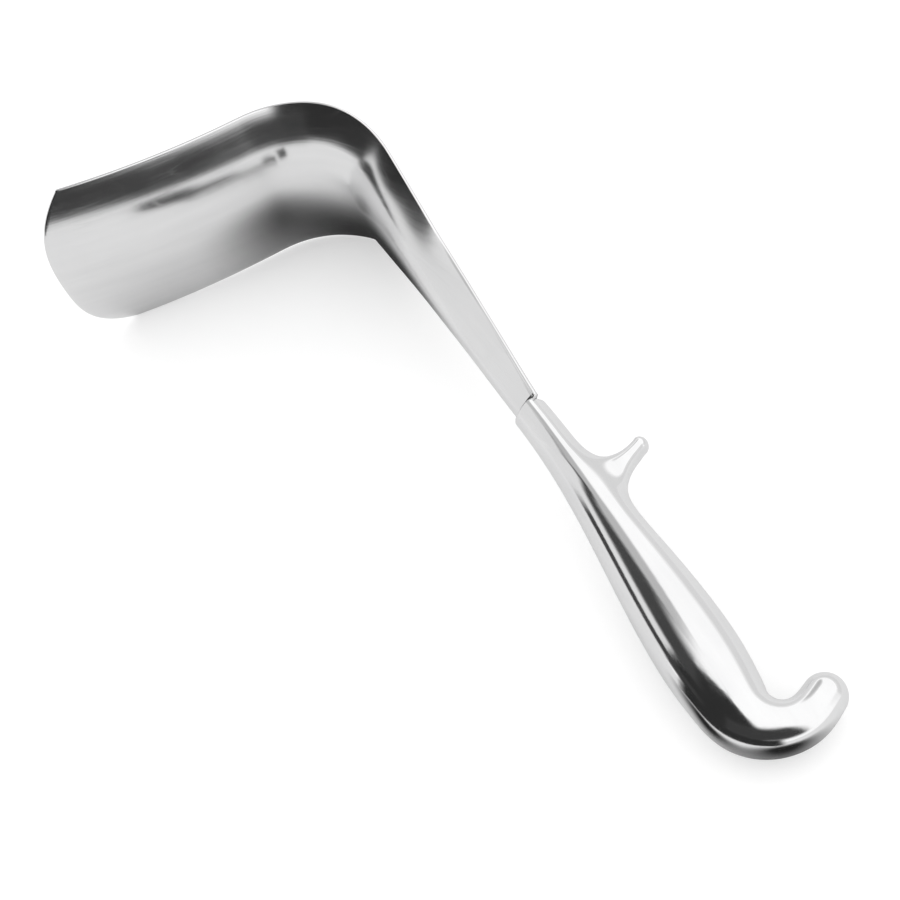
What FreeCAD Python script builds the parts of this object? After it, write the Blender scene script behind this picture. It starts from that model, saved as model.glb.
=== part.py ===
import FreeCAD, Part
import math
import os

os.makedirs("parts", exist_ok=True)

# Handheld L-shaped retractor: a broad gutter blade, bent into a tapering shank,
# brazed to a rounded handle with a finger spur and a hooked end.
#
# All sizes in millimetres and degrees. The shape is drawn in the instrument's own frame first:
#   X runs along the shank and handle, towards the hook; X = 0 is the braze seam,
#   Y points to the side of the finger spur and away from the blade,
#   Z runs across the blade; Z = 0 is the mirror plane of the whole tool.
# At the end the tool is turned and moved so that it lies at rest on the plane Z = 0.

# Blade and shank: path of the gutter floor
shank_length = 86.2           # seam to the start of the bend
shank_lean = 1.3              # the shank leans this much to the spur side
bend_radius = 20.3
bend_angle = 87.8
blade_length = 66.8           # end of the bend to the blade tip
blade_back_curve = 250.0      # radius of the slight outward curve of the blade
bend_easing = 6.0             # length over which the bend starts and ends
neck_easing = 12.0            # length over which shank and handle take up their lean

# Blade and shank: widths across the gutter
neck_width = 11.2
shank_width_low = 16.2
shank_width_mid = 22.7
shank_width_high = 35.6
bend_width_in = 46.8
bend_width_mid = 56.7
blade_width_root = 56.9
blade_width_tip = 59.4

# Blade and shank: depth of the gutter, floor to lips
neck_depth = 4.3
shank_depth_low = 6.7
shank_depth_mid = 8.7
bend_depth = 10.0
blade_depth_root = 9.8
blade_depth_tip = 8.7

# Shank: its section is a ridge with flat walls that eases into the round gutter of the blade
ridge_share = 0.17            # rounding of the ridge, as a share of half the width there
ridge_fade_start = 20.0
ridge_fade_end = 75.0

# Blade and shank: sheet
neck_thickness = 3.2
shank_thickness = 2.6
bend_thickness = 2.4
blade_thickness = 2.0
lip_thickness_ratio = 0.55    # lips are thinner than the floor of the gutter
tip_sag = 11.4                # corners of the tip stand back this far
tip_roundness = 3.3           # exponent of the tip outline, higher is squarer
tip_skew = 5.4                # the hand-ground tip is off square by this angle

# Tang of the shank in the handle
tang_length = 14.0
tang_width = 6.0
tang_thickness = 3.4
tang_corner = 0.8
tang_level = 0.4              # height of the tang's middle plane above the axis Y = 0
tang_root = 2.0               # the tang starts this far inside the shank

# Handle: axis
neck_level = 2.0              # height of the handle's axis at the seam
handle_lean = 2.7             # the handle leans this much to the blade side
handle_bow_radius = 1430.0
handle_straight = 97.7        # seam to the start of the hook
hook_radius = 11.2
hook_turn = 118.5
hook_tail = 9.1               # straight end of the hook

# Handle: oval sections, width in the mirror plane and height across it
handle_neck_width = 9.7
handle_neck_height = 12.4
low_station = 17.0
handle_low_width = 10.4
handle_low_height = 12.8
palm_station = 83.0
palm_width = 20.7
palm_height = 18.8
hook_root_width = 17.5
hook_root_height = 17.2
hook_bar_width = 11.9
hook_bar_height = 12.8
hook_end_width = 10.4
hook_end_height = 11.6
seam_edge_round = 0.5
neck_flatness = 0.10          # the oval is drawn in by this share between its axes at the seam
flat_fade_start = 8.0         # from here to flat_fade_end the handle eases into a plain oval
flat_fade_end = 40.0

# Finger spur
spur_root_station = 30.5      # middle of the spur's root along X
spur_tip_station = 26.0
spur_height = 21.2            # tip of the spur above the axis Y = 0
spur_root_level = 2.0
spur_root_length = 32.0
spur_tip_length = 4.8
spur_flare = 2.7              # exponent of the concave flanks
spur_root_thickness = 8.6
spur_tip_thickness = 6.2


def vec(x, y, z):
    return FreeCAD.Vector(x, y, z)


def smooth(t):
    t = min(1.0, max(0.0, t))
    return t * t * (3.0 - 2.0 * t)


def monotone(stations, values):
    """Smooth curve through the values that never overshoots them."""
    n = len(stations)
    step = [stations[i + 1] - stations[i] for i in range(n - 1)]
    rise = [(values[i + 1] - values[i]) / step[i] for i in range(n - 1)]
    slope = [rise[0]]
    for i in range(1, n - 1):
        if rise[i - 1] * rise[i] <= 0.0:
            slope.append(0.0)
        else:
            w1 = 2.0 * step[i] + step[i - 1]
            w2 = step[i] + 2.0 * step[i - 1]
            slope.append((w1 + w2) / (w1 / rise[i - 1] + w2 / rise[i]))
    slope.append(rise[-1])

    def value(s):
        s = min(stations[-1], max(stations[0], s))
        i = 0
        while i < n - 2 and s > stations[i + 1]:
            i += 1
        h = step[i]
        t = (s - stations[i]) / h
        a = (1.0 + 2.0 * t) * (1.0 - t) ** 2 * values[i]
        b = t * (1.0 - t) ** 2 * h * slope[i]
        c = t * t * (3.0 - 2.0 * t) * values[i + 1]
        d = t * t * (t - 1.0) * h * slope[i + 1]
        return a + b + c + d

    return value


class PlanarPath:
    """A path in the mirror plane, given by its curvature along its length."""

    def __init__(self, start, heading, length, curvature, step=0.25):
        self.count = max(8, int(math.ceil(length / step)))
        self.step = length / self.count
        self.length = length
        x, y = start
        self.points = [(x, y)]
        self.headings = [heading]
        for i in range(self.count):
            s = (i + 0.5) * self.step
            turn = curvature(s) * self.step
            mid = heading + 0.5 * turn
            x += math.cos(mid) * self.step
            y += math.sin(mid) * self.step
            heading += turn
            self.points.append((x, y))
            self.headings.append(heading)

    def at(self, s):
        """Point and heading; beyond either end the path goes on straight."""
        if s >= self.length:
            over = s - self.length
            x, y = self.points[-1]
            h = self.headings[-1]
            return x + over * math.cos(h), y + over * math.sin(h), h
        s = max(0.0, s)
        i = min(self.count - 1, int(s / self.step))
        t = s / self.step - i
        xa, ya = self.points[i]
        xb, yb = self.points[i + 1]
        h = self.headings[i] + t * (self.headings[i + 1] - self.headings[i])
        return xa + t * (xb - xa), ya + t * (yb - ya), h


def eased_box(s, start, end, ease):
    """One between start and end, with eased flanks of the same area."""
    return smooth((s - start) / ease + 0.5) - smooth((s - end) / ease + 0.5)


def closed_skin(sections, stations):
    """Smooth closed tube through closed sections of equal point count."""
    count = len(sections[0])
    around = [0.0]
    middle = sections[len(sections) // 2]
    for i in range(count):
        a = middle[i]
        b = middle[(i + 1) % count]
        around.append(around[-1] + max(0.05, (b - a).Length))
    around = [t / around[-1] for t in around]
    rows = []
    for section in sections:
        curve = Part.BSplineCurve()
        curve.interpolate(Points=section, Parameters=around, PeriodicFlag=True)
        rows.append(curve)
    poles = [curve.getPoles() for curve in rows]
    knots_u = rows[0].getKnots()
    mults_u = rows[0].getMultiplicities()
    degree_u = rows[0].Degree
    columns = []
    for i in range(len(poles[0])):
        column = Part.BSplineCurve()
        column.interpolate(Points=[row[i] for row in poles], Parameters=stations)
        columns.append(column)
    grid = [column.getPoles() for column in columns]
    surface = Part.BSplineSurface()
    surface.buildFromPolesMultsKnots(grid, mults_u, columns[0].getMultiplicities(),
                                     knots_u, columns[0].getKnots(), True, False,
                                     degree_u, columns[0].Degree)
    return surface


def capped_tube(sections, stations):
    """Solid tube through closed flat sections, with flat ends."""
    surface = closed_skin(sections, stations)
    faces = [surface.toShape()]
    for v in (stations[0], stations[-1]):
        faces.append(Part.Face(Part.Wire([surface.vIso(v).toShape()])))
    shell = Part.makeShell(faces)
    shell.sewShape()
    solid = Part.Solid(shell)
    if solid.Volume < 0.0:
        solid.reverse()
    return solid


# Blade and shank
bend_length = bend_radius * math.radians(bend_angle)
path_length = shank_length + bend_length + blade_length
bend_start = shank_length
bend_end = shank_length + bend_length


def gutter_curvature(s):
    lean = -math.radians(shank_lean) / neck_easing * (1.0 if s < neck_easing else 0.0)
    turn = eased_box(s, bend_start, bend_end, bend_easing) / bend_radius
    back = smooth((s - bend_end) / bend_easing) / blade_back_curve
    return lean + turn - back


gutter_path = PlanarPath((0.0, 0.0), math.pi, path_length, gutter_curvature)

width_at = monotone(
    [0.0, 0.30 * shank_length, 0.60 * shank_length, 0.85 * shank_length, bend_start,
     bend_start + 0.5 * bend_length, bend_end, path_length],
    [neck_width, shank_width_low, shank_width_mid, shank_width_high, bend_width_in,
     bend_width_mid, blade_width_root, blade_width_tip])
depth_at = monotone(
    [0.0, 0.30 * shank_length, 0.60 * shank_length, bend_start, bend_end, path_length],
    [neck_depth, shank_depth_low, shank_depth_mid, bend_depth, blade_depth_root,
     blade_depth_tip])
thickness_at = monotone(
    [0.0, 0.35 * shank_length, bend_start, bend_end + 0.15 * blade_length, path_length],
    [neck_thickness, shank_thickness, bend_thickness, blade_thickness, blade_thickness])

across = [math.sin(0.5 * math.pi * (i / 8.0)) for i in range(-8, 9)]
lip_turns = [math.pi * i / 6.0 for i in range(1, 6)]


def gutter_section(s):
    """Closed outline of the sheet across the path: inner face, lip, outer face, lip."""
    x, y, h = gutter_path.at(s)
    nx = math.cos(h - 0.5 * math.pi)
    ny = math.sin(h - 0.5 * math.pi)
    half = 0.5 * width_at(s)
    deep = depth_at(s)
    radius = (half * half + deep * deep) / (2.0 * deep)
    spread = 2.0 * math.atan2(deep, half)
    ridge = ridge_share * half
    steep = ((deep + ridge) ** 2 - ridge ** 2) / (half * half)
    ridged = 1.0 - smooth((s - ridge_fade_start) / (ridge_fade_end - ridge_fade_start))
    full = 0.5 * thickness_at(s)
    lip = full * lip_thickness_ratio
    points = []

    def add(u, out, beyond):
        """Point at u across, moved out from the middle of the sheet and on beyond the lip."""
        w = radius * math.sin(spread * u)
        root = math.sqrt(ridge ** 2 + steep * w * w)
        round_q = radius - radius * math.cos(spread * u)
        q = round_q + ridged * (root - ridge - round_q)
        slope = (1.0 - ridged) * math.tan(spread * u) + ridged * steep * w / root
        size = math.sqrt(1.0 + slope * slope)
        q += (beyond * abs(slope) - out) / size
        w += (beyond * math.copysign(1.0, u) + out * slope) / size
        points.append(vec(x + q * nx, y + q * ny, w))

    for u in across:
        add(u, full + (lip - full) * abs(u) ** 3, 0.0)
    for turn in lip_turns:
        add(1.0, lip * math.cos(turn), lip * math.sin(turn))
    for u in reversed(across):
        add(u, -full - (lip - full) * abs(u) ** 3, 0.0)
    for turn in reversed(lip_turns):
        add(-1.0, lip * math.cos(turn), lip * math.sin(turn))
    return points


def tip_cutter():
    """Everything beyond the tip outline, seen square to the blade."""
    x, y, h = gutter_path.at(path_length)
    tx, ty = math.cos(h), math.sin(h)
    nx, ny = math.cos(h - 0.5 * math.pi), math.sin(h - 0.5 * math.pi)
    below = -2.0 * blade_thickness
    above = blade_depth_tip + 3.0 * blade_thickness

    def spot(along, z):
        return vec(x + along * tx + below * nx, y + along * ty + below * ny, z)

    skew = math.tan(math.radians(tip_skew))
    outline = []
    for i in range(-12, 13):
        u = math.sin(0.5 * math.pi * i / 12.0)
        z = 0.5 * blade_width_tip * u
        outline.append(spot(z * skew - tip_sag * abs(u) ** tip_roundness, z))
    curve = Part.BSplineCurve()
    curve.interpolate(outline)
    clear = blade_width_tip
    corners = [outline[-1], spot(-tip_sag, clear), spot(tip_sag + 10.0, clear),
               spot(tip_sag + 10.0, -clear), spot(-tip_sag, -clear), outline[0]]
    edges = [curve.toShape()]
    edges += [Part.makeLine(corners[i], corners[i + 1]) for i in range(len(corners) - 1)]
    return Part.Face(Part.Wire(edges)).extrude(vec((above - below) * nx, (above - below) * ny, 0.0))


def build_gutter():
    """The sheet of blade and shank, cut to the rounded outline of the tip."""
    count = 28
    longer = path_length + 4.0
    stations = [longer * i / count for i in range(count + 1)]
    sheet = capped_tube([gutter_section(s) for s in stations], [s / longer for s in stations])
    return sheet.cut(tip_cutter())


def build_tang():
    low = tang_level - 0.5 * tang_thickness
    box = Part.makeBox(tang_length + tang_root, tang_thickness, tang_width,
                       vec(-tang_root, low, -0.5 * tang_width))
    long_edges = [e for e in box.Edges if abs(e.tangentAt(e.FirstParameter).x) > 0.9]
    return box.makeFillet(tang_corner, long_edges)


# Handle
hook_arc = hook_radius * math.radians(hook_turn)
hook_start = handle_straight
hook_stop = hook_start + hook_arc
handle_length = hook_stop + hook_tail


def handle_curvature(s):
    lean = -math.radians(handle_lean) / neck_easing * (1.0 if s < neck_easing else 0.0)
    bow = -(1.0 - smooth((s - hook_start) / 8.0 + 0.5)) / handle_bow_radius
    return lean + bow + eased_box(s, hook_start, hook_stop, 8.0) / hook_radius


handle_path = PlanarPath((0.0, neck_level), 0.0, handle_length, handle_curvature)
handle_stations = [0.0, low_station, palm_station, hook_start + 0.12 * hook_arc,
                   hook_start + 0.75 * hook_arc, handle_length]
handle_width_at = monotone(handle_stations, [handle_neck_width, handle_low_width, palm_width,
                                             hook_root_width, hook_bar_width, hook_end_width])
handle_height_at = monotone(handle_stations, [handle_neck_height, handle_low_height, palm_height,
                                              hook_root_height, hook_bar_height,
                                              hook_end_height])


def handle_section(s, inset=0.0, shrink=1.0, count=32):
    x, y, h = handle_path.at(s)
    half_w = 0.5 * handle_width_at(s) * shrink - inset
    half_h = 0.5 * handle_height_at(s) * shrink - inset
    nx = math.cos(h + 0.5 * math.pi)
    ny = math.sin(h + 0.5 * math.pi)
    flat = neck_flatness * (1.0 - smooth((s - flat_fade_start) / (flat_fade_end - flat_fade_start)))
    points = []
    for i in range(count):
        a = 2.0 * math.pi * i / count
        reach = 1.0 - flat * math.sin(2.0 * a) ** 2
        q = half_w * reach * math.cos(a)
        points.append(vec(x + q * nx, y + q * ny, half_h * reach * math.sin(a)))
    return points


def build_grip():
    """Handle body from the seam to the domed end of the hook."""
    dome = 0.5 * hook_end_width
    body = handle_length - dome
    r = seam_edge_round
    marks = [(0.0, r, 1.0), (0.134 * r, 0.5 * r, 1.0), (0.5 * r, 0.134 * r, 1.0)]
    calm = hook_start - 7.0
    marks += [(r + (calm - r) * i / 15.0, 0.0, 1.0) for i in range(16)]
    marks += [(calm + (body - calm) * i / 14.0, 0.0, 1.0) for i in range(1, 15)]
    for angle in (18.0, 36.0, 52.0, 66.0, 77.0, 85.0):
        a = math.radians(angle)
        marks.append((body + dome * math.sin(a), 0.0, math.cos(a)))
    return capped_tube([handle_section(*mark) for mark in marks],
                       [mark[0] / handle_length for mark in marks])


def build_spur():
    """Finger spur: a fin that leans towards the blade, with concave flanks."""
    rounding = 0.5 * spur_tip_length
    body = spur_height - rounding
    rise = body - spur_root_level
    marks = [(spur_root_level + rise * i / 12.0, 1.0) for i in range(13)]
    for angle in (25.0, 48.0, 66.0, 80.0):
        a = math.radians(angle)
        marks.append((body + rounding * math.sin(a), math.cos(a)))
    sections = []
    for level, shrink in marks:
        t = min(1.0, (level - spur_root_level) / rise)
        middle = spur_tip_station + (spur_root_station - spur_tip_station) * (1.0 - t) ** 0.8
        length = spur_tip_length + (spur_root_length - spur_tip_length) * (1.0 - t) ** spur_flare
        thick = spur_tip_thickness + (spur_root_thickness - spur_tip_thickness) * (1.0 - t)
        points = []
        for i in range(24):
            a = 2.0 * math.pi * i / 24.0
            points.append(vec(middle + 0.5 * length * shrink * math.cos(a), level,
                              0.5 * thick * shrink * math.sin(a)))
        sections.append(points)
    return capped_tube(sections, [(level - spur_root_level) / spur_height for level, shrink in marks])


def lowest(points, up):
    return min(points, key=lambda p: p.dot(up))


def resting_up():
    """Upward direction of the tool lying on its side: it touches the ground with the lower
    lip at the bend, the lower lip at the tip and the underside of the handle."""
    lip_places = [shank_length + i * (path_length - tip_sag - shank_length) / 80.0
                  for i in range(81)]
    lip = [lowest(gutter_section(s), vec(0, 0, 1)) for s in lip_places]
    at_bend = lip[:40]
    at_tip = lip[41:]
    under = []
    for i in range(81):
        under += handle_section(handle_length * i / 80.0, 0.0, 1.0, 64)
    up = vec(0, 0, 1)
    for i in range(12):
        a = lowest(at_bend, up)
        b = lowest(at_tip, up)
        c = lowest(under, up)
        up = (b - a).cross(c - a)
        if up.z < 0.0:
            up = up * -1.0
        up.normalize()
    return up


# Assembly at rest on Z = 0, with the middle of its ground outline at the origin
tang = build_tang()
blade = build_gutter().fuse(tang)
handle = build_grip().fuse(build_spur()).cut(tang)

turn = FreeCAD.Placement(vec(0, 0, 0), FreeCAD.Rotation(resting_up(), vec(0, 0, 1))).toMatrix()
nodes = {"blade": blade.transformed(turn), "handle": handle.transformed(turn)}
skin = []
for shape in nodes.values():
    skin += shape.tessellate(0.1)[0]
xs = [p.x for p in skin]
ys = [p.y for p in skin]
shift = vec(-0.5 * (min(xs) + max(xs)), -0.5 * (min(ys) + max(ys)), -min(p.z for p in skin))

for name, shape in nodes.items():
    shape.translated(shift).exportStep("parts/" + name + ".step")
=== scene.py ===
import bpy
import bmesh
import math
import numpy as np
from mathutils import Euler, Matrix, Vector
from mathutils.bvhtree import BVHTree


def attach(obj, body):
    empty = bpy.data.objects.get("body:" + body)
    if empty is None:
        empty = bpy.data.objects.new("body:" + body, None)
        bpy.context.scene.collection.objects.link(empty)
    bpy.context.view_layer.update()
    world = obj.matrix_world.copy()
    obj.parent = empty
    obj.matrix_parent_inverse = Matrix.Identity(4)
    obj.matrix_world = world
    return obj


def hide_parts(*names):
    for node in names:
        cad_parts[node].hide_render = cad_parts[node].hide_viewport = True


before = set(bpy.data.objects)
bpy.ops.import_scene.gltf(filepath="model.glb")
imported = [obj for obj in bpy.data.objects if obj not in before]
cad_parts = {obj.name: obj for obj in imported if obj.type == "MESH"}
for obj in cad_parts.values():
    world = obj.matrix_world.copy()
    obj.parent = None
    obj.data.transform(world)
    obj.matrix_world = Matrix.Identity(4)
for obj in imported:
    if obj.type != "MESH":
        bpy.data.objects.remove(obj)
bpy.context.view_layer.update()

# Camera of the photograph: from above and beyond the hook end, in metres, degrees and millimetres.
CAMERA_PLACE = (0.27122, -0.07629, 0.36055)
CAMERA_TURN = (38.2778, 10.5879, 59.0823)
LENS = 67.7131
SENSOR = 36.0

# Sizes of the tool in its own frame, in millimetres and degrees, as in the solids: X runs along the
# handle from the seam, Y points to the side of the spur, Z across the blade.
MM = 0.001
SHANK_LENGTH = 86.2
SHANK_LEAN = 1.3
BEND_RADIUS = 20.3
BEND_ANGLE = 87.8
BLADE_LENGTH = 66.8
BLADE_BACK_CURVE = 250.0
BEND_EASING = 6.0
NECK_EASING = 12.0
BEND_LENGTH = BEND_RADIUS * math.radians(BEND_ANGLE)
BEND_END = SHANK_LENGTH + BEND_LENGTH
PATH_LENGTH = BEND_END + BLADE_LENGTH

# Sections of the blade and shank: places along their path from the seam, and the sizes there.
WIDTH_PLACES = [0.0, 0.30 * SHANK_LENGTH, 0.60 * SHANK_LENGTH, 0.85 * SHANK_LENGTH, SHANK_LENGTH,
                SHANK_LENGTH + 0.5 * BEND_LENGTH, BEND_END, PATH_LENGTH]
WIDTHS = [11.2, 16.2, 22.7, 35.6, 46.8, 56.7, 56.9, 59.4]
DEPTH_PLACES = [0.0, 0.30 * SHANK_LENGTH, 0.60 * SHANK_LENGTH, SHANK_LENGTH, BEND_END, PATH_LENGTH]
DEPTHS = [4.3, 6.7, 8.7, 10.0, 9.8, 8.7]
THICKNESS_PLACES = [0.0, 0.35 * SHANK_LENGTH, SHANK_LENGTH, BEND_END + 0.15 * BLADE_LENGTH, PATH_LENGTH]
THICKNESSES = [3.2, 2.6, 2.4, 2.0, 2.0]
GUTTER_SOFTENING = 3.0
LIP_RATIO = 0.55
RIDGE_SHARE = 0.17
RIDGE_FADE = (20.0, 75.0)

# The hand-ground tip: how far its corners fall back, how square it is, how far it is off square,
# where the sheet begins to follow its outline, and how long its rounded edge is.
TIP_SAG = 11.4
TIP_ROUNDNESS = 3.3
TIP_SKEW = 5.4
TIP_FAN = 30.0
TIP_EDGE = 0.9

# The handle's path: a slight lean at the neck, a long bow, and the hook with a short straight end.
NECK_LEVEL = 2.0
HANDLE_LEAN = 2.7
HANDLE_BOW = 1430.0
HANDLE_STRAIGHT = 97.7
HOOK_RADIUS = 11.2
HOOK_TURN = 118.5
HOOK_TAIL = 9.1
HOOK_EASING = 8.0
HOOK_ARC = HOOK_RADIUS * math.radians(HOOK_TURN)
HOOK_STOP = HANDLE_STRAIGHT + HOOK_ARC
HANDLE_LENGTH = HOOK_STOP + HOOK_TAIL
HOOK_END_WIDTH = 10.4

# Sections of the handle, in the same way.
HANDLE_PLACES = [0.0, 17.0, 83.0, HANDLE_STRAIGHT + 0.12 * HOOK_ARC,
                 HANDLE_STRAIGHT + 0.75 * HOOK_ARC, HANDLE_LENGTH]
HANDLE_WIDTHS = [9.7, 10.4, 20.7, 17.5, 11.9, HOOK_END_WIDTH]
HANDLE_HEIGHTS = [12.4, 12.8, 18.8, 17.2, 12.8, 11.6]
HANDLE_SOFTENING = 3.5
SEAM_EDGE = 0.5
NECK_FLATNESS = 0.10
FLAT_FADE = (8.0, 40.0)

# The finger spur: places of root and tip along the handle, heights above its axis, and sizes.
SPUR_ROOT_STATION = 30.5
SPUR_TIP_STATION = 26.0
SPUR_HEIGHT = 21.2
SPUR_ROOT_LEVEL = 2.0
SPUR_ROOT_LENGTH = 32.0
SPUR_TIP_LENGTH = 4.8
SPUR_LEAN = 0.8
SPUR_FLARE = 2.7
SPUR_ROOT_THICKNESS = 8.6
SPUR_TIP_THICKNESS = 6.2
SPUR_ROUNDING = 0.5 * SPUR_TIP_LENGTH
SPUR_BODY = SPUR_HEIGHT - SPUR_ROUNDING
SPUR_RISE = SPUR_BODY - SPUR_ROOT_LEVEL
SPUR_BLEND = 4.0

# How fine the meshes are: steps of the curves in millimetres, points and rows of the rings, and
# steps of the rounded ends in degrees.
PATH_STEP = 0.1
PROFILE_STEP = 0.2
PROFILE_MARGIN = 15.0
FACE_POINTS = 57
LIP_POINTS = 9
SHEET_ROWS = 260
TIP_EDGE_ANGLES = (15.0, 30.0, 45.0, 58.0, 70.0, 80.0, 86.0)
SEAM_EDGE_STEP = 15.0
GRIP_ROWS = 300
GRIP_POINTS = 112
HOOK_END_STEP = 4.0
SPUR_ROWS = 70
SPUR_POINTS = 72
SPUR_TIP_STEP = 6.0

# The handle's skin: points closer than WELD become one, then voxels of size VOXEL, both in metres,
# and passes that move each point onto the true surface, with their probe and reach in millimetres.
WELD = 2e-6
VOXEL = 0.0004
SKIN_PASSES = 4
SKIN_PROBE = 0.1
SKIN_REACH = 1.2

# How the tool lies on the table: how far it leans over, to which side, and how far it is moved.
REST_LEAN = 5.6256
REST_SIDE = 174.528
REST_MOVE = np.array((5.651, 31.210, 18.398))


def turn_about(axis, degrees):
    """Matrix of a turn about an axis."""
    return np.array(Matrix.Rotation(math.radians(degrees), 3, axis))


REST_TURN = turn_about("Z", REST_SIDE) @ turn_about("Y", -REST_LEAN) @ turn_about("Z", -REST_SIDE)


def smooth(t):
    """Step from 0 to 1 with soft ends."""
    t = np.clip(t, 0.0, 1.0)
    return t * t * (3.0 - 2.0 * t)


def eased_box(s, start, end, ease):
    """1 between start and end and 0 outside, with soft steps."""
    return smooth((s - start) / ease + 0.5) - smooth((s - end) / ease + 0.5)


def profile(stations, values, soft):
    """Curve through the values that never overshoots them, then softened over a short length."""
    x = np.array(stations, float)
    y = np.array(values, float)
    step = np.diff(x)
    rise = np.diff(y) / step
    slope = np.zeros(len(x))
    slope[0] = rise[0]
    slope[-1] = rise[-1]
    for i in range(1, len(x) - 1):
        if rise[i - 1] * rise[i] > 0.0:
            w1 = 2.0 * step[i] + step[i - 1]
            w2 = step[i] + 2.0 * step[i - 1]
            slope[i] = (w1 + w2) / (w1 / rise[i - 1] + w2 / rise[i])
    grid = np.arange(x[0] - PROFILE_MARGIN, x[-1] + PROFILE_MARGIN, PROFILE_STEP)
    inside = np.clip(grid, x[0], x[-1])
    i = np.clip(np.searchsorted(x, inside, side="right") - 1, 0, len(step) - 1)
    t = (inside - x[i]) / step[i]
    level = ((1.0 + 2.0 * t) * (1.0 - t) ** 2 * y[i] + t * (1.0 - t) ** 2 * step[i] * slope[i]
             + t * t * (3.0 - 2.0 * t) * y[i + 1] + t * t * (t - 1.0) * step[i] * slope[i + 1])
    level += np.where(grid < x[0], (grid - x[0]) * slope[0], 0.0)
    level += np.where(grid > x[-1], (grid - x[-1]) * slope[-1], 0.0)
    reach = np.arange(-3.0 * soft, 3.0 * soft + 0.5 * PROFILE_STEP, PROFILE_STEP)
    weight = np.exp(-0.5 * (reach / soft) ** 2)
    level = np.convolve(np.pad(level, len(reach), mode="reflect", reflect_type="odd"),
                        weight / weight.sum(), mode="same")[len(reach):-len(reach)]
    return lambda s: np.interp(s, grid, level)


def planar_path(start, heading, length, curvature):
    """Point and heading along a path in the mirror plane; beyond its ends it goes on straight."""
    s = np.arange(0.0, length, PATH_STEP)
    turn = curvature(s + 0.5 * PATH_STEP) * PATH_STEP
    headings = heading + np.concatenate([[0.0], np.cumsum(turn)])
    middle = headings[:-1] + 0.5 * turn
    x = start[0] + np.concatenate([[0.0], np.cumsum(np.cos(middle) * PATH_STEP)])
    y = start[1] + np.concatenate([[0.0], np.cumsum(np.sin(middle) * PATH_STEP)])
    marks = np.arange(len(headings)) * PATH_STEP

    def at(s):
        over = np.where(s > marks[-1], s - marks[-1], np.where(s < 0.0, s, 0.0))
        h = np.interp(s, marks, headings)
        return (np.interp(s, marks, x) + over * np.cos(h),
                np.interp(s, marks, y) + over * np.sin(h), h)

    return at


def gutter_curvature(s):
    """Curvature of the blade and shank: a slight lean at the neck, the bend, and a curved-back blade."""
    lean = -math.radians(SHANK_LEAN) / NECK_EASING * (s < NECK_EASING)
    turn = eased_box(s, SHANK_LENGTH, BEND_END, BEND_EASING) / BEND_RADIUS
    back = smooth((s - BEND_END) / BEND_EASING) / BLADE_BACK_CURVE
    return lean + turn - back


def handle_curvature(s):
    """Curvature of the handle: a slight lean at the neck, a long bow and the hook."""
    lean = -math.radians(HANDLE_LEAN) / NECK_EASING * (s < NECK_EASING)
    bow = -(1.0 - smooth((s - HANDLE_STRAIGHT) / HOOK_EASING + 0.5)) / HANDLE_BOW
    return lean + bow + eased_box(s, HANDLE_STRAIGHT, HOOK_STOP, HOOK_EASING) / HOOK_RADIUS


gutter_path = planar_path((0.0, 0.0), math.pi, PATH_LENGTH, gutter_curvature)
handle_path = planar_path((0.0, NECK_LEVEL), 0.0, HANDLE_LENGTH, handle_curvature)
gutter_width = profile(WIDTH_PLACES, WIDTHS, GUTTER_SOFTENING)
gutter_depth = profile(DEPTH_PLACES, DEPTHS, GUTTER_SOFTENING)
gutter_thickness = profile(THICKNESS_PLACES, THICKNESSES, GUTTER_SOFTENING)
handle_width = profile(HANDLE_PLACES, HANDLE_WIDTHS, HANDLE_SOFTENING)
handle_height = profile(HANDLE_PLACES, HANDLE_HEIGHTS, HANDLE_SOFTENING)


def at_rest(points):
    """Points of the tool's own frame in millimetres, as places in the scene in metres."""
    return (points @ REST_TURN.T + REST_MOVE) * MM


def ringed_mesh(name, rings, lanes=None):
    """Closed mesh through rings of equal point count, with flat ends. lanes gives each point's way
    along and across the piece, in metres."""
    rows, count = rings.shape[0], rings.shape[1]
    points = at_rest(rings.reshape(-1, 3))
    faces = []
    for i in range(rows - 1):
        for j in range(count):
            k = (j + 1) % count
            faces.append((i * count + j, i * count + k, (i + 1) * count + k, (i + 1) * count + j))
    faces.append(tuple(range(count))[::-1])
    faces.append(tuple((rows - 1) * count + j for j in range(count)))
    mesh = bpy.data.meshes.new(name)
    mesh.from_pydata([tuple(p) for p in points], [], faces)
    if lanes is not None:
        layer = mesh.attributes.new("lane", "FLOAT_VECTOR", "POINT")
        layer.data.foreach_set("vector", lanes.ravel())
    edit = bmesh.new()
    edit.from_mesh(mesh)
    bmesh.ops.remove_doubles(edit, verts=edit.verts, dist=WELD)
    bmesh.ops.recalc_face_normals(edit, faces=edit.faces)
    edit.to_mesh(mesh)
    edit.free()
    piece = bpy.data.objects.new(name, mesh)
    bpy.context.scene.collection.objects.link(piece)
    return piece


def sheet_outline():
    """Points round a section of the sheet. Each has a place across it from lip to lip, which face
    it is on, how far it is past the lip, and whether it is on a lip."""
    u = np.sin(0.5 * np.pi * np.linspace(-1.0, 1.0, FACE_POINTS))
    turns = np.pi * np.arange(1, LIP_POINTS + 1) / (LIP_POINTS + 1.0)
    flat = np.zeros(FACE_POINTS)
    one_face = np.ones(FACE_POINTS)
    one_lip = np.ones(LIP_POINTS)
    across = np.concatenate([u, one_lip, u[::-1], -one_lip])
    face = np.concatenate([one_face, np.cos(turns), -one_face, np.cos(turns[::-1])])
    beyond = np.concatenate([flat, np.sin(turns), flat, np.sin(turns[::-1])])
    on_lip = np.concatenate([flat, one_lip, flat, one_lip]) > 0.5
    return across, face, beyond, on_lip


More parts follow.
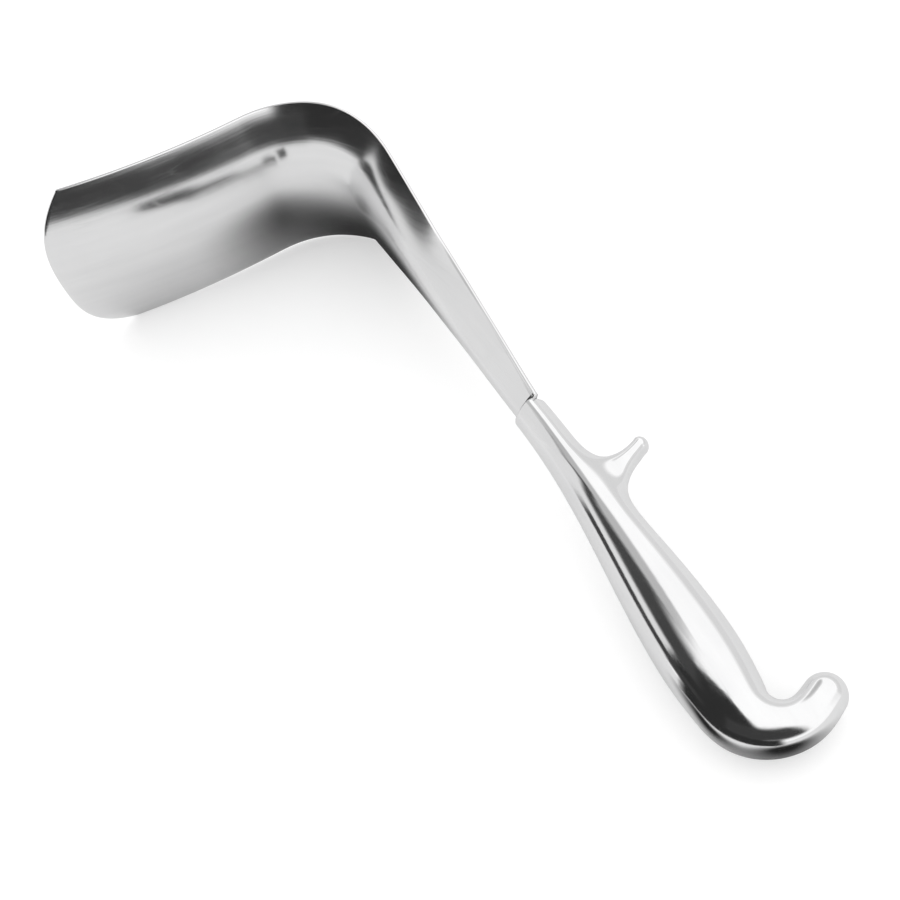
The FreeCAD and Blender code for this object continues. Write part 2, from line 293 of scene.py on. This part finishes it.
def sheet_rows(across):
    """Places along the path of each ring's points, and how much of the thickness is left there."""
    tip_half = 0.5 * float(gutter_width(PATH_LENGTH))
    tip_deep = float(gutter_depth(PATH_LENGTH))
    tip_spread = 2.0 * math.atan2(tip_deep, tip_half)
    side = np.sin(tip_spread * across) / math.sin(tip_spread)
    tip_end = (PATH_LENGTH + side * tip_half * math.tan(math.radians(TIP_SKEW))
               - TIP_SAG * np.abs(side) ** TIP_ROUNDNESS)
    fan_start = PATH_LENGTH - TIP_FAN
    rows = []
    for s in np.linspace(0.0, PATH_LENGTH, SHEET_ROWS):
        if s <= fan_start:
            rows.append((np.full(len(across), s), 1.0))
        else:
            t = (s - fan_start) / (PATH_LENGTH - fan_start)
            rows.append((fan_start + t * (tip_end - TIP_EDGE - fan_start), 1.0))
    for angle in np.radians(TIP_EDGE_ANGLES):
        rows.append((tip_end - TIP_EDGE + TIP_EDGE * np.sin(angle), math.cos(angle)))
    return rows


def gutter_rings():
    """Rings round the sheet of blade and shank, from the seam to the rounded tip edge, and the lane
    of each point: its way along and across the sheet, with the two faces kept apart."""
    face_gap = 4.0
    across, face, beyond, on_lip = sheet_outline()
    rings = []
    lanes = []
    for s, thin in sheet_rows(across):
        x, y, h = gutter_path(s)
        half = 0.5 * gutter_width(s)
        deep = gutter_depth(s)
        radius = (half * half + deep * deep) / (2.0 * deep)
        angle = 2.0 * np.arctan2(deep, half) * across
        ridge = RIDGE_SHARE * half
        steep = ((deep + ridge) ** 2 - ridge ** 2) / (half * half)
        ridged = 1.0 - smooth((s - RIDGE_FADE[0]) / (RIDGE_FADE[1] - RIDGE_FADE[0]))
        full = 0.5 * gutter_thickness(s) * thin
        lip = full * LIP_RATIO
        offset = np.where(on_lip, lip, full + (lip - full) * np.abs(across) ** 3) * face
        w = radius * np.sin(angle)
        root = np.sqrt(ridge ** 2 + steep * w * w)
        round_q = radius - radius * np.cos(angle)
        q = round_q + ridged * (root - ridge - round_q)
        slope = (1.0 - ridged) * np.tan(angle) + ridged * steep * w / root
        size = np.sqrt(1.0 + slope * slope)
        q = q + (beyond * lip * np.abs(slope) - offset) / size
        w = w + (np.sign(across) * beyond * lip + offset * slope) / size
        lanes.append(np.stack([s, w, face_gap * face], 1) * MM)
        nx = np.cos(h - 0.5 * math.pi)
        ny = np.sin(h - 0.5 * math.pi)
        rings.append(np.stack([x + q * nx, y + q * ny, w], 1))
    return np.array(rings), np.array(lanes)


def grip_rings():
    """Rings round the handle from the seam to the domed end of the hook."""
    dome = 0.5 * HOOK_END_WIDTH
    body = HANDLE_LENGTH - dome
    rows = []
    for angle in np.radians(np.arange(0.0, 90.0, SEAM_EDGE_STEP)):
        rows.append((SEAM_EDGE * (1.0 - math.cos(angle)), SEAM_EDGE * (1.0 - math.sin(angle)), 1.0))
    rows += [(s, 0.0, 1.0) for s in np.linspace(SEAM_EDGE, body, GRIP_ROWS)]
    for angle in np.radians(np.arange(HOOK_END_STEP, 90.0, HOOK_END_STEP)):
        rows.append((body + dome * math.sin(angle), 0.0, math.cos(angle)))
    around = 2.0 * np.pi * np.arange(GRIP_POINTS) / GRIP_POINTS
    rings = []
    for s, inset, shrink in rows:
        x, y, h = handle_path(np.array(s))
        half_w = 0.5 * handle_width(s) * shrink - inset
        half_h = 0.5 * handle_height(s) * shrink - inset
        flat = NECK_FLATNESS * (1.0 - smooth((s - FLAT_FADE[0]) / (FLAT_FADE[1] - FLAT_FADE[0])))
        reach = 1.0 - flat * np.sin(2.0 * around) ** 2
        q = half_w * reach * np.cos(around)
        up = h + 0.5 * math.pi
        rings.append(np.stack([x + q * np.cos(up), y + q * np.sin(up),
                               half_h * reach * np.sin(around)], 1))
    return np.array(rings)


def spur_section(level):
    """Middle, length and thickness of the finger spur at a level above the handle's axis."""
    t = np.clip((level - SPUR_ROOT_LEVEL) / SPUR_RISE, 0.0, 1.0)
    middle = SPUR_TIP_STATION + (SPUR_ROOT_STATION - SPUR_TIP_STATION) * (1.0 - t) ** SPUR_LEAN
    length = SPUR_TIP_LENGTH + (SPUR_ROOT_LENGTH - SPUR_TIP_LENGTH) * (1.0 - t) ** SPUR_FLARE
    thick = SPUR_TIP_THICKNESS + (SPUR_ROOT_THICKNESS - SPUR_TIP_THICKNESS) * (1.0 - t)
    return middle, length, thick


def spur_rings():
    """Rings round the finger spur: a fin that leans towards the blade."""
    rows = [(SPUR_ROOT_LEVEL + SPUR_RISE * i / SPUR_ROWS, 1.0) for i in range(SPUR_ROWS + 1)]
    for angle in np.radians(np.arange(SPUR_TIP_STEP, 90.0, SPUR_TIP_STEP)):
        rows.append((SPUR_BODY + SPUR_ROUNDING * math.sin(angle), math.cos(angle)))
    around = 2.0 * np.pi * np.arange(SPUR_POINTS) / SPUR_POINTS
    rings = []
    for level, shrink in rows:
        middle, length, thick = spur_section(level)
        rings.append(np.stack([middle + 0.5 * length * shrink * np.cos(around),
                               np.full(SPUR_POINTS, level),
                               0.5 * thick * shrink * np.sin(around)], 1))
    return np.array(rings)


def spur_level(points):
    """Below zero inside the spur and above zero outside it."""
    middle, length, thick = spur_section(points[:, 1])
    top = np.maximum(0.0, (points[:, 1] - SPUR_BODY) / SPUR_ROUNDING)
    return np.sqrt((2.0 * (points[:, 0] - middle) / length) ** 2
                   + (2.0 * points[:, 2] / thick) ** 2 + top ** 2) - 1.0


def spur_depth(points):
    """Roughly how far points of the tool's own frame lie outside the spur; exact where it is zero."""
    probe = 0.02
    least_slope = 0.02
    slope = np.stack([spur_level(points + step) - spur_level(points - step)
                      for step in probe * np.eye(3)], 1) / (2.0 * probe)
    away = spur_level(points) / np.maximum(np.linalg.norm(slope, axis=1), least_slope)
    return np.maximum(away, SPUR_ROOT_LEVEL - points[:, 1])


def grip_depth(tree, points):
    """How far points lie outside the grip, in millimetres; negative inside."""
    away = np.empty(len(points))
    for i, point in enumerate(at_rest(points)):
        point = Vector(point)
        place, normal, _, gap = tree.find_nearest(point)
        away[i] = gap / MM if (point - place).dot(normal) >= 0.0 else -gap / MM
    return away


def blended_depth(tree, points):
    """How far points lie outside grip and spur, with a soft hollow between the two."""
    grip_gap = grip_depth(tree, points)
    spur_gap = spur_depth(points)
    share = np.maximum(SPUR_BLEND - np.abs(grip_gap - spur_gap), 0.0) / SPUR_BLEND
    return np.minimum(grip_gap, spur_gap) - share * share * SPUR_BLEND * 0.25


def blended_handle(grip, spur):
    """One skin round grip and spur, with a soft hollow where they meet."""
    edit = bmesh.new()
    edit.from_mesh(grip.data)
    tree = BVHTree.FromBMesh(edit)
    edit.free()
    bpy.ops.object.select_all(action="DESELECT")
    grip.select_set(True)
    spur.select_set(True)
    bpy.context.view_layer.objects.active = grip
    bpy.ops.object.join()
    remesh = grip.modifiers.new("remesh", "REMESH")
    remesh.mode = "VOXEL"
    remesh.voxel_size = VOXEL
    bpy.ops.object.modifier_apply(modifier="remesh")
    grip.name = "handle_body"
    grip.data.name = "handle_body"
    edit = bmesh.new()
    edit.from_mesh(grip.data)
    least_slope = 0.4
    for _ in range(SKIN_PASSES):
        bmesh.ops.smooth_vert(edit, verts=edit.verts, factor=0.5, use_axis_x=True,
                              use_axis_y=True, use_axis_z=True)
        edit.normal_update()
        points = (np.array([v.co for v in edit.verts]) / MM - REST_MOVE) @ REST_TURN
        normals = np.array([v.normal for v in edit.verts]) @ REST_TURN
        here = blended_depth(tree, points)
        slope = (blended_depth(tree, points + SKIN_PROBE * normals) - here) / SKIN_PROBE
        move = np.clip(-here / np.maximum(slope, least_slope), -SKIN_REACH, SKIN_REACH)
        for vertex, place in zip(edit.verts, at_rest(points + normals * move[:, None])):
            vertex.co = place
    edit.to_mesh(grip.data)
    edit.free()
    return grip


def shade_smooth(piece):
    """Smooth shading on all faces of a piece."""
    piece.data.polygons.foreach_set("use_smooth", [True] * len(piece.data.polygons))


def add_node(tree, kind, inputs=None, **settings):
    """New shader node with its settings, and its inputs by name or number as values or links."""
    node = tree.nodes.new("ShaderNode" + kind)
    for key, value in settings.items():
        setattr(node, key, value)
    for key, value in (inputs or {}).items():
        if isinstance(value, bpy.types.NodeSocket):
            tree.links.new(value, node.inputs[key])
        else:
            node.inputs[key].default_value = value
    return node


def empty_material(name):
    """New material, and its node tree without any nodes."""
    material = bpy.data.materials.new(name)
    material.use_nodes = True
    material.node_tree.nodes.clear()
    return material, material.node_tree


def noise(tree, source, stretch, scale, detail):
    """Noise along the places that source gives, drawn out in the directions of a small stretch."""
    places = add_node(tree, "Mapping", {"Vector": source, "Scale": stretch}).outputs[0]
    return add_node(tree, "TexNoise", {"Vector": places, "Scale": scale, "Detail": detail}).outputs["Fac"]


def spread(tree, source, from_range, to_range):
    """The source's values between the two of from_range, drawn out to the two of to_range."""
    return add_node(tree, "MapRange", {"Value": source, "From Min": from_range[0],
                                       "From Max": from_range[1], "To Min": to_range[0],
                                       "To Max": to_range[1]}).outputs[0]


def combined(tree, operation, one, other):
    """Sum, product or the like of a link and another link or number."""
    return add_node(tree, "Math", {0: one, 1: other}, operation=operation).outputs[0]


def scratches(tree, lane, place):
    """Stray thin lines that run almost along the grain, here and there."""
    tilt = (0.0, 0.0, 0.06)
    stretch = (1.0, 14.0, 14.0)
    line_width = 0.03
    tilted = add_node(tree, "Mapping", {"Vector": lane, "Rotation": tilt, "Scale": stretch}).outputs[0]
    cells = add_node(tree, "TexVoronoi", {"Vector": tilted, "Scale": 30.0}, feature="DISTANCE_TO_EDGE")
    line = spread(tree, cells.outputs["Distance"], (0.0, line_width), (1.0, 0.0))
    regions = noise(tree, place, stretch=EVEN, scale=45.0, detail=2.0)
    where = spread(tree, regions, (0.50, 0.70), (0.0, 1.0))
    return combined(tree, "MULTIPLY", line, where)


# The steel's two tones, the middle stretch of a noise, how much clouds, grain and scratches add to
# the roughness, and how high the coarse grain stands beside the fine one.
STEEL_DARK = (0.80, 0.80, 0.805)
STEEL_PALE = (0.87, 0.87, 0.872)
NOISE_MIDDLE = (0.3, 0.7)
CLOUD_DULLING = (-0.02, 0.03)
GRAIN_DULLING = (-0.02, 0.02)
SCRATCH_DULLING = 0.10
COARSE_HEIGHT = 0.6
EVEN = (1.0, 1.0, 1.0)


def steel(name, rough, grain, marks, scratched):
    """Steel with fine grain along its length, soft clouds in its polish and stray scratches.

    grain says what the grain follows: "rings" for the lanes of the mesh, "frame" for its own frame.
    marks is how deep the grain goes, in metres, and scratched how much the scratches show."""
    material = bpy.data.materials.new(name)
    material.use_nodes = True
    tree = material.node_tree
    place = add_node(tree, "TexCoord").outputs["Object"]
    lane = place
    if grain == "rings":
        lane = add_node(tree, "Attribute", attribute_name="lane").outputs["Vector"]
    fine = noise(tree, lane, stretch=(1.0, 60.0, 60.0), scale=40.0, detail=3.0)
    coarse = noise(tree, lane, stretch=(1.0, 14.0, 14.0), scale=22.0, detail=2.0)
    clouds = noise(tree, place, stretch=EVEN, scale=55.0, detail=4.0)
    scratch = scratches(tree, lane, place)

    # Map Range has each of its sockets twice, so those for colours are told apart by number.
    colour_in, from_min, from_max, to_min, to_max, colour_out = 6, 7, 8, 9, 10, 1
    patches = combined(tree, "ADD", combined(tree, "MULTIPLY", coarse, 0.5),
                       combined(tree, "MULTIPLY", clouds, 0.5))
    tint = add_node(tree, "MapRange", {colour_in: patches, to_min: STEEL_DARK, to_max: STEEL_PALE,
                                       from_min: [NOISE_MIDDLE[0]] * 3,
                                       from_max: [NOISE_MIDDLE[1]] * 3}, data_type="FLOAT_VECTOR")

    cloud_rough = spread(tree, clouds, NOISE_MIDDLE, (rough + CLOUD_DULLING[0], rough + CLOUD_DULLING[1]))
    grain_rough = spread(tree, fine, NOISE_MIDDLE, GRAIN_DULLING)
    scratch_rough = combined(tree, "MULTIPLY", scratch, SCRATCH_DULLING * scratched)
    dull = combined(tree, "ADD", combined(tree, "ADD", cloud_rough, grain_rough), scratch_rough)
    ridges = combined(tree, "ADD", fine, combined(tree, "MULTIPLY", coarse, COARSE_HEIGHT))
    height = combined(tree, "SUBTRACT", ridges, combined(tree, "MULTIPLY", scratch, scratched))
    bump = add_node(tree, "Bump", {"Height": height, "Strength": 1.0, "Distance": marks})

    shader = tree.nodes["Principled BSDF"]
    shader.inputs["Metallic"].default_value = 1.0
    tree.links.new(tint.outputs[colour_out], shader.inputs["Base Color"])
    tree.links.new(dull, shader.inputs["Roughness"])
    tree.links.new(bump.outputs[0], shader.inputs["Normal"])
    return material


# The table: its size in metres, its grey, how much it glows to the eye, and the share in the metal.
TABLE_SIZE = 6.0
TABLE_GREY = 0.62
TABLE_GLOW = 0.45
METAL_SHARE = 0.32


def white_table():
    """Matt table that keeps the shadow of the tool. It glows to the eye, and less in the metal."""
    bpy.ops.mesh.primitive_plane_add(size=TABLE_SIZE, location=(0.0, 0.0, 0.0))
    table = bpy.context.object
    table.name = "table"
    paper, tree = empty_material("paper")
    matt = add_node(tree, "BsdfDiffuse", {"Color": (TABLE_GREY, TABLE_GREY, TABLE_GREY, 1.0)})
    rays = add_node(tree, "LightPath").outputs
    in_metal = combined(tree, "MULTIPLY", rays["Is Glossy Ray"], METAL_SHARE)
    seen = combined(tree, "MAXIMUM", rays["Is Camera Ray"], in_metal)
    seen = combined(tree, "MAXIMUM", seen, rays["Is Transmission Ray"])
    glow = add_node(tree, "Emission", {"Strength": spread(tree, seen, (0.0, 1.0), (0.0, TABLE_GLOW))})
    both = add_node(tree, "AddShader", {0: matt.outputs[0], 1: glow.outputs[0]})
    add_node(tree, "OutputMaterial", {"Surface": both.outputs[0]})
    table.data.materials.append(paper)


CARD_COLUMNS = 49
CARD_ROWS = 25


def studio_card(name, centre, radius, turns, heights, tone, soft):
    """A curved card or lamp front round a centre, that only the metal sees. turns and heights say
    from which to which direction and height it goes, in degrees, and soft over how many degrees
    its left, right, lower and upper edges fade."""
    points = []
    veil = []
    for e in np.linspace(heights[0], heights[1], CARD_ROWS):
        for a in np.linspace(turns[0], turns[1], CARD_COLUMNS):
            flat = radius * math.cos(math.radians(e))
            points.append((centre[0] + flat * math.cos(math.radians(a)),
                           centre[1] + flat * math.sin(math.radians(a)),
                           centre[2] + radius * math.sin(math.radians(e))))
            inward = np.array([a - turns[0], turns[1] - a, e - heights[0], heights[1] - e])
            veil.append(float(np.prod(smooth(inward / soft))))
    faces = []
    for j in range(CARD_ROWS - 1):
        for i in range(CARD_COLUMNS - 1):
            k = j * CARD_COLUMNS + i
            faces.append((k, k + 1, k + CARD_COLUMNS + 1, k + CARD_COLUMNS))
    return veiled_piece(name, points, faces, veil, tone)


def veiled_piece(name, points, faces, veil, tone):
    """An even glowing or dark sheet that fades by its veil, seen by nothing but the metal."""
    mesh = bpy.data.meshes.new(name)
    mesh.from_pydata(points, [], faces)
    layer = mesh.attributes.new("veil", "FLOAT", "POINT")
    layer.data.foreach_set("value", veil)
    card = bpy.data.objects.new(name, mesh)
    bpy.context.scene.collection.objects.link(card)
    material, tree = empty_material(name)
    glow = add_node(tree, "Emission", {"Strength": tone})
    clear = add_node(tree, "BsdfTransparent")
    cover = add_node(tree, "Attribute", attribute_name="veil")
    mix = add_node(tree, "MixShader", {0: cover.outputs["Fac"], 1: clear.outputs[0], 2: glow.outputs[0]})
    add_node(tree, "OutputMaterial", {"Surface": mix.outputs[0]})
    mesh.materials.append(material)
    card.visible_camera = False
    card.visible_diffuse = False
    card.visible_shadow = False
    card.visible_transmission = False
    card.visible_volume_scatter = False
    return card


SHADE_RINGS = 12
SHADE_AROUND = 40
SHADE_TONE = 0.02
SHADE_CORE = 0.2


def table_shade(name, place, size, turn, depth):
    """A soft dark patch on the table, that only the metal sees, darkest in its core: painted shadow,
    standing for the tool's shadow on the table as the metal reflects it.
    """
    points = [(0.0, 0.0, 0.0)]
    veil = [depth]
    for j in range(1, SHADE_RINGS + 1):
        t = j / float(SHADE_RINGS)
        for i in range(SHADE_AROUND):
            a = 2.0 * math.pi * i / SHADE_AROUND
            points.append((size[0] * t * math.cos(a), size[1] * t * math.sin(a), 0.0))
            veil.append(depth * float(smooth((1.0 - t) / (1.0 - SHADE_CORE))))
    faces = [(0, 1 + i, 1 + (i + 1) % SHADE_AROUND) for i in range(SHADE_AROUND)]
    for j in range(SHADE_RINGS - 1):
        for i in range(SHADE_AROUND):
            k = 1 + j * SHADE_AROUND
            n = (i + 1) % SHADE_AROUND
            faces.append((k + i, k + SHADE_AROUND + i, k + SHADE_AROUND + n, k + n))
    patch = veiled_piece(name, points, faces, veil, SHADE_TONE)
    patch.location = place
    patch.rotation_euler = (0.0, 0.0, math.radians(turn))


# Centres that the cards curve round: the middle of the tool, two places in its palm, and the hook.
MIDDLE = (0.0, 0.0, 0.02)
PALM = (0.06, 0.01, 0.02)
PALM_LOW = (0.07, 0.012, 0.02)
HOOK = (0.11, 0.025, 0.012)


def studio_cards():
    """Dark surroundings on the near side, a light wall to the left of them, two dark strips close
    to the palm that let light through between them, a low dark one beside the hook, and paler
    cards on the far side. Where the metal shows the table in the tool's shadow there are dark
    patches: painted shadow, that only the metal sees."""
    studio_card("near_dark", MIDDLE, radius=1.06, turns=(-116.6, -20.0), heights=(1.0, 96.0),
                tone=0.03, soft=(2.5, 14.0, 5.0, 16.0))
    studio_card("near_dark_low", MIDDLE, radius=0.41, turns=(-70.0, 18.0), heights=(2.0, 46.0),
                tone=0.05, soft=(10.0, 8.0, 8.0, 12.0))
    studio_card("left_wall", MIDDLE, radius=1.07, turns=(-190.0, -114.0), heights=(-2.0, 80.0),
                tone=0.84, soft=(10.0, 1.0, 1.0, 12.0))
    studio_card("palm_dark_low", PALM_LOW, radius=0.075, turns=(-162.0, -82.0), heights=(2.0, 20.0),
                tone=0.05, soft=(8.0, 10.0, 4.0, 3.0))
    studio_card("palm_dark_high", PALM, radius=0.10, turns=(-188.0, -80.0), heights=(32.0, 88.0),
                tone=0.06, soft=(22.0, 12.0, 10.0, 24.0))
    studio_card("hook_dark", HOOK, radius=0.06, turns=(-128.0, -5.0), heights=(-14.0, 12.0),
                tone=0.03, soft=(4.0, 10.0, 3.0, 4.0))
    studio_card("far_low", MIDDLE, radius=0.80, turns=(40.0, 200.0), heights=(-1.0, 30.0),
                tone=0.78, soft=(10.0, 20.0, 0.5, 14.0))
    studio_card("far_grey", MIDDLE, radius=0.82, turns=(142.0, 215.0), heights=(28.0, 82.0),
                tone=0.55, soft=(16.0, 16.0, 10.0, 10.0))
    # Painted shadow: dark patches on the table where the tool's shadow lies under the bend and beside the
    # palm and hook, seen only in the metal.
    table_shade("shade_bend", (-0.089, 0.034, 0.0006), size=(0.052, 0.054), turn=0.0, depth=0.96)
    table_shade("shade_palm", (0.098, -0.004, 0.0004), size=(0.040, 0.018), turn=40.0, depth=1.0)
    table_shade("shade_hook", (0.136, 0.024, 0.0005), size=(0.038, 0.030), turn=0.0, depth=1.0)


SKY_STRENGTH = 1.15


def white_studio():
    """Even white light from all around."""
    world = bpy.data.worlds.new("studio")
    bpy.context.scene.world = world
    world.use_nodes = True
    tree = world.node_tree
    tree.nodes.clear()
    sky = add_node(tree, "Background", {"Color": (1.0, 1.0, 1.0, 1.0), "Strength": SKY_STRENGTH})
    add_node(tree, "OutputWorld", {"Surface": sky.outputs[0]})


def photo_camera():
    """The camera of the photograph."""
    camera_data = bpy.data.cameras.new("camera")
    camera = bpy.data.objects.new("camera", camera_data)
    bpy.context.scene.collection.objects.link(camera)
    camera.location = CAMERA_PLACE
    camera.rotation_euler = Euler([math.radians(a) for a in CAMERA_TURN])
    camera_data.sensor_width = SENSOR
    camera_data.lens = LENS
    bpy.context.scene.camera = camera


blade = ringed_mesh("blade_sheet", *gutter_rings())
grip = ringed_mesh("grip", grip_rings())
spur = ringed_mesh("spur", spur_rings())
handle = blended_handle(grip, spur)
satin = steel("satin", rough=0.15, grain="rings", marks=0.0000045, scratched=1.0)
polish = steel("polish", rough=0.10, grain="frame", marks=0.0000022, scratched=0.5)
finishes = ((blade, "blade", "blade_steel", satin),
            (handle, "handle", "handle_steel", polish))
for piece, node_name, slot_name, finish in finishes:
    shade_smooth(piece)
    piece.data.materials.clear()
    piece.data.materials.append(finish)
    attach(piece, "root")
    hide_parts(node_name)

white_table()
studio_cards()
white_studio()
photo_camera()
bpy.context.scene.view_settings.view_transform = "Standard"
